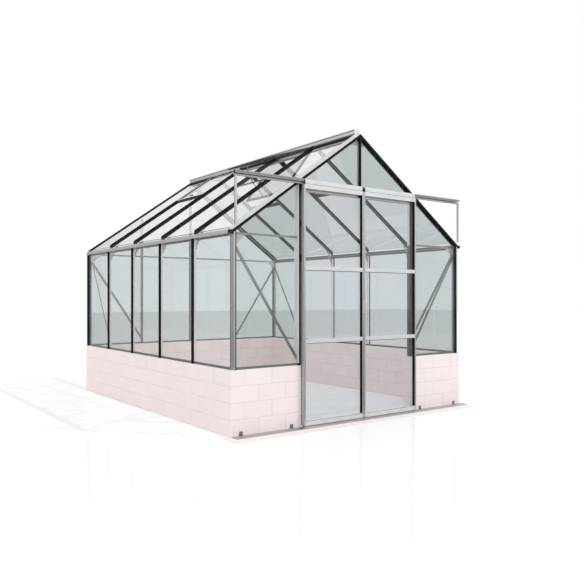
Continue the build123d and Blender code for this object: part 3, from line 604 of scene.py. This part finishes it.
for side, hand in SIDES:
    body = f"{hand}_door"
    near, far = side * (MEETING + STILE), side * (DOORWAY - STILE)
    # Black strips sunk a little into the rails' fronts are painted shadow in grooves. The rails'
    # ribs take lit aluminium, as painted light.
    rail_ribs, groove_shadow_lines, fixings = Piece(), Piece(), Piece()
    for foot in (LOW_RAIL, MID_RAIL):
        ribs(rail_ribs, near, far, DOOR_FRONT, foot + 0.006, foot + RAIL_HEIGHT - 0.002, 3)
        span_box(groove_shadow_lines, near, far, DOOR_FRONT - GROOVE_SINK, DOOR_FRONT + FILM,
                 foot, foot + 0.004)
    ribs(rail_ribs, near, far, DOOR_FRONT, DOOR_HEAD - TOP_RAIL + 0.004, DOOR_HEAD + 0.035, 5)
    ribs(rail_ribs, near, far, DOOR_FRONT, DOOR_FOOT + 0.006, DOOR_FOOT + KICK_RAIL - 0.010, 2)
    span_box(groove_shadow_lines, near, far, DOOR_FRONT - GROOVE_SINK, DOOR_FRONT + FILM,
             DOOR_HEAD + 0.004, DOOR_HEAD + 0.0065)
    span_box(groove_shadow_lines, near, far, DOOR_FRONT - GROOVE_SINK, DOOR_FRONT + FILM,
             DOOR_FOOT + KICK_RAIL - 0.004, DOOR_FOOT + KICK_RAIL - 0.0015)
    for x in (near + side * 0.040, far - side * 0.040):
        for z in (DOOR_HEAD - 0.020, DOOR_HEAD + 0.024):
            fixings.screw(Vector((x, DOOR_FRONT - 0.0012, z)), -Y_AXIS)
    for x in (side * (MEETING + STILE / 2), side * (DOORWAY - STILE / 2)):
        for z in (DOOR_FOOT + KICK_RAIL / 2, LOW_RAIL + RAIL_HEIGHT / 2,
                  MID_RAIL + RAIL_HEIGHT / 2):
            fixings.screw(Vector((x, DOOR_FRONT, z)), -Y_AXIS, 0.0035)
    rail_ribs.done(f"{hand}_door_rail_ribs", ALU_LIT_PALE, body, "aluminium")
    groove_shadow_lines.done(f"{hand}_door_rail_groove_shadows", RUBBER, body, "black_rubber")
    fixings.done(f"{hand}_door_screws", STEEL, body, "aluminium")

    feet = Piece()
    for x in (side * (MEETING + 0.002), side * (DOORWAY - STILE)):
        span_box(feet, x, x + side * 0.016, DOOR_FRONT + 0.012, DOOR_FRONT + 0.028,
                 DOOR_FOOT - 0.0035, DOOR_FOOT)
    feet.done(f"{hand}_door_feet", PLASTIC, body, "black_plastic")

    # Painted shade on each door's outer stile side: a grey sheet over its front part, and a black
    # strip at its back for the shadow of the gap.
    gap_shadow, shaded_stile_side = Piece(), Piece()
    back = DOOR_FRONT + DOOR_DEPTH
    span_box(gap_shadow, side * (DOORWAY - 0.004), side * (DOORWAY + 0.0008), back - 0.006, back + 0.005,
             DOOR_FOOT, DOOR_HEAD)
    span_box(shaded_stile_side, side * (DOORWAY - 0.001), side * (DOORWAY + FILM), DOOR_FRONT + 0.001,
             back - 0.006, DOOR_FOOT, DOOR_HEAD)
    shaded_stile_side.done(f"{hand}_door_side_shade", ALU_MATT_SHADE, body, "aluminium")
    gap_shadow.done(f"{hand}_door_gap_shadow", RUBBER, body, "black_rubber")

    low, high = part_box(f"{hand}_door_handle")
    plate = Piece()
    plate.box(low.x, high.x, high.y - 0.003, high.y, low.z, high.z)
    for x in (low.x, high.x - 0.0025):
        plate.box(x, x + 0.0025, low.y, high.y - 0.003, low.z, high.z)
    for z in (low.z, high.z - 0.004):
        plate.box(low.x + 0.0025, high.x - 0.0025, low.y, high.y - 0.003, z, z + 0.004)
    middle = (low.x + high.x) / 2
    for z in (low.z + 0.014, high.z - 0.014):
        plate.screw(Vector((middle, high.y - 0.003, z)), -Y_AXIS, 0.0035)
    # The pull takes the lit aluminium: painted light.
    plate.done(f"{hand}_door_pull", ALU_LIT_PALE, body, "aluminium",
               replaces=(f"{hand}_door_handle",))

# Painted shade: the track's ribs take a shaded aluminium, and black strips sunk into its face are
# painted shadow in grooves.
track_ribs, track_groove_shadows = Piece(), Piece()
low, high = TRACK
ribs(track_ribs, low.x, high.x, low.y, high.z - 0.026, high.z - 0.002, 3)
for z in (high.z - 0.018, high.z - 0.010):
    track_groove_shadows.box(low.x, high.x, low.y - GROOVE_SINK, low.y + FILM, z - 0.0012, z + 0.0012)
track_ribs.done("track_face_ribs", ALU_TRACK_SHADE, "house", "aluminium")
track_groove_shadows.done("track_face_groove_shadows", RUBBER, "house", "black_rubber")

# Painted shade on the doorway's jambs: grey sheets over their faces and near-black strips for
# shadow in their grooves.
jamb_groove_shadows, jamb_shaded_faces, lit_post_strips, post_shade_sheets = Piece(), Piece(), Piece(), Piece()
for side, hand in SIDES:
    inner, outer = side * DOORWAY, side * (DOORWAY + BAR_WIDTH)
    for low, high in ((0.0035, 0.012), (0.042, 0.0495)):
        span_box(jamb_groove_shadows, inner, inner - side * FACING, FRONT + low, FRONT + high,
                 WALL_TOP, HEADER_TOP - HEADER_HEIGHT)
    for low, high, head in ((0.0125, 0.0415, HEADER_TOP - HEADER_HEIGHT), (0.050, 0.066, EAVES),
                            (0.0675, 0.0845, EAVES)):
        span_box(jamb_shaded_faces, inner, inner - side * FACING, FRONT + low, FRONT + high,
                 WALL_TOP, head)
    # Painted light: pale sheets on each door post's outer side.
    for low, high in ((0.007, GLASS_FRONT), (GLASS_BACK + 0.0005, BAR_DEPTH - 0.0005)):
        span_box(lit_post_strips, outer, outer + side * FILM, FRONT + low, FRONT + high,
                 SILL_TOP, roof_z(outer, GASKET_FOOT) - 0.004)
    # Painted shade: grey sheets on the corner posts' inner faces.
    face = side * INSIDE
    span_box(post_shade_sheets, face, face - side * FILM, FRONT + GLASS_BACK, FRONT + BAR_DEPTH,
             WALL_TOP + 0.001, roof_z(face, GASKET_FOOT) - 0.004)
jamb_groove_shadows.done("doorway_groove_shadows", ALU_DEEP_SHADE, "house", "aluminium")
jamb_shaded_faces.done("doorway_shaded_faces", ALU_SHADE, "house", "aluminium")
lit_post_strips.done("door_post_lit_edges", ALU_SOFT_LIT, "house", "aluminium")
post_shade_sheets.done("corner_post_shade", ALU_SHADE, "house", "aluminium")


def rafter_strip(piece, side, face, inwards, deep_first, deep_second, low, high):
    """A strip down a rafter, between two places inwards of its gable and two heights."""
    y_low, y_high = sorted((face + inwards * deep_first, face + inwards * deep_second))
    ring = ((y_low, low), (y_high, low), (y_high, high), (y_low, high))
    piece.prism(*[[(side * x, y, roof_z(x, above)) for y, above in ring]
                  for x in (0.001, HALF - 0.001)])


rafter_edges = Piece()
for side, hand in SIDES:
    for face, inwards in ((FRONT, 1), (REAR, -1)):
        rafter_strip(rafter_edges, side, face, inwards, -FILM, 0.001, GASKET_FOOT, -0.0095)
        rafter_strip(rafter_edges, side, face, inwards, 0.001, RAFTER_DEPTH + FILM,
                     GASKET_FOOT - FILM, GASKET_FOOT)
    rafter_strip(rafter_edges, side, FRONT, 1, RAFTER_DEPTH, RAFTER_DEPTH + FILM,
                 GASKET_FOOT, -0.017)
    rafter_strip(rafter_edges, side, REAR, -1, RAFTER_DEPTH, 0.0628, -0.015, -0.0045)
    rafter_strip(rafter_edges, side, REAR, -1, 0.059, 0.0596, 0.0, 0.0136)
    rafter_strip(rafter_edges, side, REAR, -1, 0.050, 0.059, 0.013, 0.0136)
    # Painted light and shade: the left rear rafter's inner side is pale, the right one's dark grey.
    painted_rafter_side = Piece()
    rafter_strip(painted_rafter_side, side, REAR, -1, RAFTER_DEPTH, RAFTER_DEPTH + FILM,
                 GASKET_FOOT, -0.0152)
    painted_rafter_side.done(f"{hand}_rear_rafter_painted_side", ALU_SOFT_LIT if side < 0 else ALU_SHADE, "house",
                     "aluminium")
rafter_edges.done("rafter_edge_strips", RUBBER, "house", "black_rubber")

# Painted shade: dark grey sheets along the inner faces of the eaves.
gutter_inner_shade = Piece()
for side, hand in SIDES:
    for x, low, high in ((HALF - ROOF_SETBACK - 0.003, 0.012, 0.036), (INSIDE, -0.016, 0.006)):
        span_box(gutter_inner_shade, side * x, side * (x - FILM), FRONT + 0.063, REAR - 0.063,
                 EAVES + low, EAVES + high)
gutter_inner_shade.done("gutter_inner_shade", ALU_SHADE, "house", "aluminium")

rear_caps = Piece()
for side, hand in SIDES:
    span_box(rear_caps, side * (HALF - GLASS_FRONT), side * (HALF + FILM),
             REAR - BAR_WIDTH - FILM, REAR + FILM, WALL_TOP, roof_z(HALF, GASKET_FOOT) - 0.001)
rear_caps.done("rear_corner_caps", RUBBER, "house", "black_rubber")

bolts = Piece()
for side, hand in SIDES:
    low = Vector((side * INSIDE, 0, EAVES - GUSSET_DROP))
    head_x = INSIDE - GUSSET_RUN
    high = Vector((side * head_x, 0, roof_z(head_x, GLASS_FRONT - BAR_DEPTH)))
    along = (high - low).normalized()
    for number in range(1, BAYS):
        for end, step in ((low, 0.020), (high, -0.024)):
            spot = end + along * step + Vector((-side * 0.006, bar_y(number), 0.004))
            for face in (-1, 1):
                bolts.bolt(spot + Y_AXIS * face * 0.002, Y_AXIS * face, 0.009, 0.004)
    for x in (1.437, 0.877):
        bolts.bolt(Vector((side * x, FRONT - 0.012, KERB_TOP + 0.003)), Z_AXIS, 0.010, 0.002)
    for x in (side * (INSIDE - 0.030), side * (INSIDE - 0.100)):
        bolts.bolt(Vector((x, FRONT + BAR_DEPTH + 0.004, EAVES + 0.006)), -Y_AXIS, 0.009, 0.003)
for x in (-0.08, 0.08):
    bolts.bolt(Vector((x, FRONT + BAR_DEPTH, APEX - 0.112)), -Y_AXIS, 0.009, 0.003)
bolts.done("frame_bolts", STEEL, "house", "aluminium")

ridge_lines = Piece()
for side, hand in SIDES:
    for z_low, z_high in ((RIDGE_HIGH.z - 0.012, RIDGE_HIGH.z - 0.0095),
                          (APEX - 0.004, APEX + 0.001)):
        reach_out = FILM + (RIDGE_HIGH.x if z_low > APEX + 0.01 else RIDGE_HALF)
        span_box(ridge_lines, side * (reach_out - 0.002), side * reach_out,
                 RIDGE_LOW.y, RIDGE_HIGH.y, z_low, z_high)
ridge_lines.done("ridge_edge_strips", RUBBER, "house", "black_rubber")

vent_handles = Piece()
VENT_LENGTH = 0.679
VENT_LOW_EDGE = VENT_LENGTH + RIDGE_HALF / cos(SLOPE)
for side, hand in SIDES:
    for number in (1, 3):
        if side < 0 and number == 1:
            continue
        x = VENT_LOW_EDGE * cos(SLOPE) - 0.030
        y = (bar_y(number) + bar_y(number + 1)) / 2
        spot = Vector((side * x, y, roof_z(x, 0.021)))
        vent_handles.box(spot.x - 0.012, spot.x + 0.012, y - 0.030, y + 0.030,
                         spot.z, spot.z + 0.008)
vent_handles.done("vent_handles", PLASTIC, "house", "black_plastic")

# CAD nodes that keep their own shape

dress(KERB, "door_kerb")
# Aluminium tones here are lit and shaded copies. The header keeps the plain colour. The gutters,
# ridge and door rails are painted light. The posts, stiles, end rods, rafters, track, tie bars,
# bottom rail, braces, sills, brackets, stay and vent sills are painted shade, darkest on the vent
# sills.
dress(ALU_Z, "corner_posts", "left_door_stiles", "right_door_stiles", "track_end_rods")
dress(ALU_X, "door_header")
dress(ALU_Y, "left_gutter", "right_gutter", "ridge_beam")
dress(ALU_TRACK_SHADE, "top_track", "tie_bars", "bottom_rail", "braces")
dress(PLATE_METAL_SHADED_MID, "gusset_plates")
dress(VENT_METAL_SHADED_SIDES, "closed_vent_frames", "open_vent_frame")
dress(ALU_PLAIN, "gable_rafters")
dress(ALU_LIT_PALE, "left_door_rails", "right_door_rails")
dress(ALU_SHADE, "wall_sills", "rail_brackets", "vent_stay")
dress(ALU_DEEP_SHADE, "vent_sills")
dress(RUBBER, "wall_seals", "gable_seals", "rafter_gaskets", "roof_seals", "left_door_seals",
      "right_door_seals")
dress(PLASTIC, "gutter_end_caps", "left_door_rollers", "right_door_rollers")
dress(GLASS, "left_wall_glass", "right_wall_glass", "rear_gable_glass")
dress(DOOR_GLASS, "left_door_glass", "right_door_glass")
dress(GABLE_GLASS, "front_gable_glass")
dress(ROOF_GLASS, "left_roof_glass", "vent_glass")
dress(FAR_ROOF_GLASS, "right_roof_glass")

# Stage: a white floor, a white surround and one sun

SUN_STRENGTH = 0.5
SUN_SPREAD = radians(0.35)
SUN_DIRECTION = Vector((-0.52, 0.585, -1.0))
FLOOR_SHEEN = 0.16
FLOOR_ROUGHNESS = 0.09
FLOOR_LIFT = 0.12            # light added where the camera sees the floor directly
FLOOR_REACH = 45.0
FLOOR_TOP = -0.0005
FLOOR_IN_MIRRORS = 0.32
HORIZON_IN_MIRRORS = 0.5
THROUGH_GLASS = (0.80, 0.855, 0.885)    # the surround as it shows through panes
FLOOR_INSIDE = (0.88, 0.93, 0.95)       # the floor through panes, in the house and past it
FLOOR_PAST = (0.69, 0.725, 0.74)


def light_path_switches(s):
    """Values that say how a ray came: to the camera, straight through glass, or from a mirror."""
    path = s.node("ShaderNodeLightPath")
    mirrored = s.math("GREATER_THAN", path.outputs["Glossy Depth"], 0.5)
    scattered = s.math("GREATER_THAN", path.outputs["Diffuse Depth"], 0.5)
    passed = path.outputs["Is Transmission Ray"]
    straight = s.math("MULTIPLY", s.math("MULTIPLY", passed, s.math("SUBTRACT", 1.0, mirrored)),
                      s.math("SUBTRACT", 1.0, scattered))
    reflected = s.math("MULTIPLY", path.outputs["Is Reflection Ray"], path.outputs["Is Glossy Ray"])
    glossed = s.math("MAXIMUM", reflected, s.math("MULTIPLY", passed, mirrored))
    return path.outputs["Is Camera Ray"], straight, glossed


def floor_material():
    s = Shader("studio_floor")
    seen, straight, glossed = light_path_switches(s)
    matt = s.node("ShaderNodeBsdfDiffuse")
    grain = s.noise(s.coords((1, 1, 1)), 0.6, 4.0)
    tinted = s.node("ShaderNodeMix", data_type="RGBA")
    s.link(straight, tinted.inputs["Factor"])
    s.link(s.ramp(grain, 0.3, 0.7, (0.90, 0.90, 0.90), (0.915, 0.915, 0.915)), tinted.inputs[6])
    where = s.node("ShaderNodeTexCoord")
    parts = s.node("ShaderNodeSeparateXYZ")
    s.link(where.outputs["Object"], parts.inputs["Vector"])
    inside_x = s.math("LESS_THAN", s.math("ABSOLUTE", parts.outputs["X"]), HALF)
    inside_y = s.math("LESS_THAN", s.math("ABSOLUTE", parts.outputs["Y"]), REAR)
    through = s.node("ShaderNodeMix", data_type="RGBA")
    s.link(s.math("MULTIPLY", inside_x, inside_y), through.inputs["Factor"])
    through.inputs[6].default_value = (*FLOOR_PAST, 1)
    through.inputs[7].default_value = (*FLOOR_INSIDE, 1)
    s.link(through.outputs[2], tinted.inputs[7])
    s.link(tinted.outputs[2], matt.inputs["Color"])
    sheen = s.node("ShaderNodeBsdfGlossy", Roughness=FLOOR_ROUGHNESS)
    lit = s.node("ShaderNodeMixShader", Fac=FLOOR_SHEEN)
    s.link(matt.outputs["BSDF"], lit.inputs[1])
    s.link(sheen.outputs["BSDF"], lit.inputs[2])
    lift = s.node("ShaderNodeEmission")
    lift.inputs["Color"].default_value = (1, 1, 1, 1)
    s.link(s.math("MULTIPLY", seen, FLOOR_LIFT), lift.inputs["Strength"])
    both = s.node("ShaderNodeAddShader")
    s.link(lit.outputs["Shader"], both.inputs[0])
    s.link(lift.outputs["Emission"], both.inputs[1])
    grey = s.node("ShaderNodeEmission")
    grey.inputs["Strength"].default_value = FLOOR_IN_MIRRORS
    mix = s.node("ShaderNodeMixShader")
    s.link(glossed, mix.inputs["Fac"])
    s.link(both.outputs["Shader"], mix.inputs[1])
    s.link(grey.outputs["Emission"], mix.inputs[2])
    s.link(mix.outputs["Shader"], s.output.inputs["Surface"])
    return s.material


floor_mesh = bpy.data.meshes.new("studio_floor")
floor_mesh.from_pydata([(x * FLOOR_REACH, y * FLOOR_REACH, FLOOR_TOP)
                        for x, y in ((-1, -1), (1, -1), (1, 1), (-1, 1))], [], [(0, 1, 2, 3)])
floor = bpy.data.objects.new("studio_floor", floor_mesh)
bpy.context.scene.collection.objects.link(floor)
floor_mesh.materials.append(floor_material())


class WorldShader(Shader):
    """The same helpers for the world's nodes."""

    def __init__(self, world):
        world.use_nodes = True
        self.tree = world.node_tree
        self.tree.nodes.clear()
        self.output = self.node("ShaderNodeOutputWorld")


world = bpy.data.worlds.new("studio")
bpy.context.scene.world = world
w = WorldShader(world)
straight, glossed = light_path_switches(w)[1:]
direction = w.node("ShaderNodeTexCoord")
parts = w.node("ShaderNodeSeparateXYZ")
w.link(direction.outputs["Generated"], parts.inputs["Vector"])
behind = w.math("ADD", w.math("MULTIPLY", parts.outputs["Y"], 0.87),
                w.math("MULTIPLY", parts.outputs["X"], -0.5))
back = w.node("ShaderNodeMapRange", interpolation_type="SMOOTHSTEP")
back.inputs["From Min"].default_value = -0.1
back.inputs["From Max"].default_value = 0.6
w.link(behind, back.inputs["Value"])
low = w.node("ShaderNodeMapRange", interpolation_type="SMOOTHSTEP")
low.inputs["From Min"].default_value = 0.22
low.inputs["From Max"].default_value = 0.38
low.inputs["To Min"].default_value = 1.0
low.inputs["To Max"].default_value = 0.0
w.link(parts.outputs["Z"], low.inputs["Value"])
dark = w.math("MULTIPLY", w.math("MULTIPLY", back.outputs["Result"], low.outputs["Result"]),
              1.0 - HORIZON_IN_MIRRORS)
level = w.math("SUBTRACT", 1.0, w.math("MULTIPLY", dark, glossed))
background = w.node("ShaderNodeBackground")
background.inputs["Color"].default_value = (1, 1, 1, 1)
w.link(level, background.inputs["Strength"])
beyond_glass = w.node("ShaderNodeBackground")
beyond_glass.inputs["Color"].default_value = (*THROUGH_GLASS, 1)
surround = w.node("ShaderNodeMixShader")
w.link(straight, surround.inputs["Fac"])
w.link(background.outputs["Background"], surround.inputs[1])
w.link(beyond_glass.outputs["Background"], surround.inputs[2])
w.link(surround.outputs["Shader"], w.output.inputs["Surface"])

sun_data = bpy.data.lights.new("sun", "SUN")
sun_data.energy = SUN_STRENGTH
sun_data.angle = SUN_SPREAD
sun = bpy.data.objects.new("sun", sun_data)
bpy.context.scene.collection.objects.link(sun)
sun.rotation_euler = SUN_DIRECTION.to_track_quat("-Z", "Y").to_euler()

# Camera, level, at the photograph's viewpoint

camera_data = bpy.data.cameras.new("camera")
camera = bpy.data.objects.new("camera", camera_data)
bpy.context.scene.collection.objects.link(camera)
camera.location = (-4.5044, -6.6577, 1.2381)
camera.rotation_euler = (radians(90), 0, radians(-36.5987))
camera_data.sensor_width = 36
camera_data.lens = 40.04
camera_data.shift_x = -0.00179
camera_data.shift_y = 0.00926
camera_data.clip_end = 200
bpy.context.scene.camera = camera
bpy.context.scene.view_settings.view_transform = "Standard"
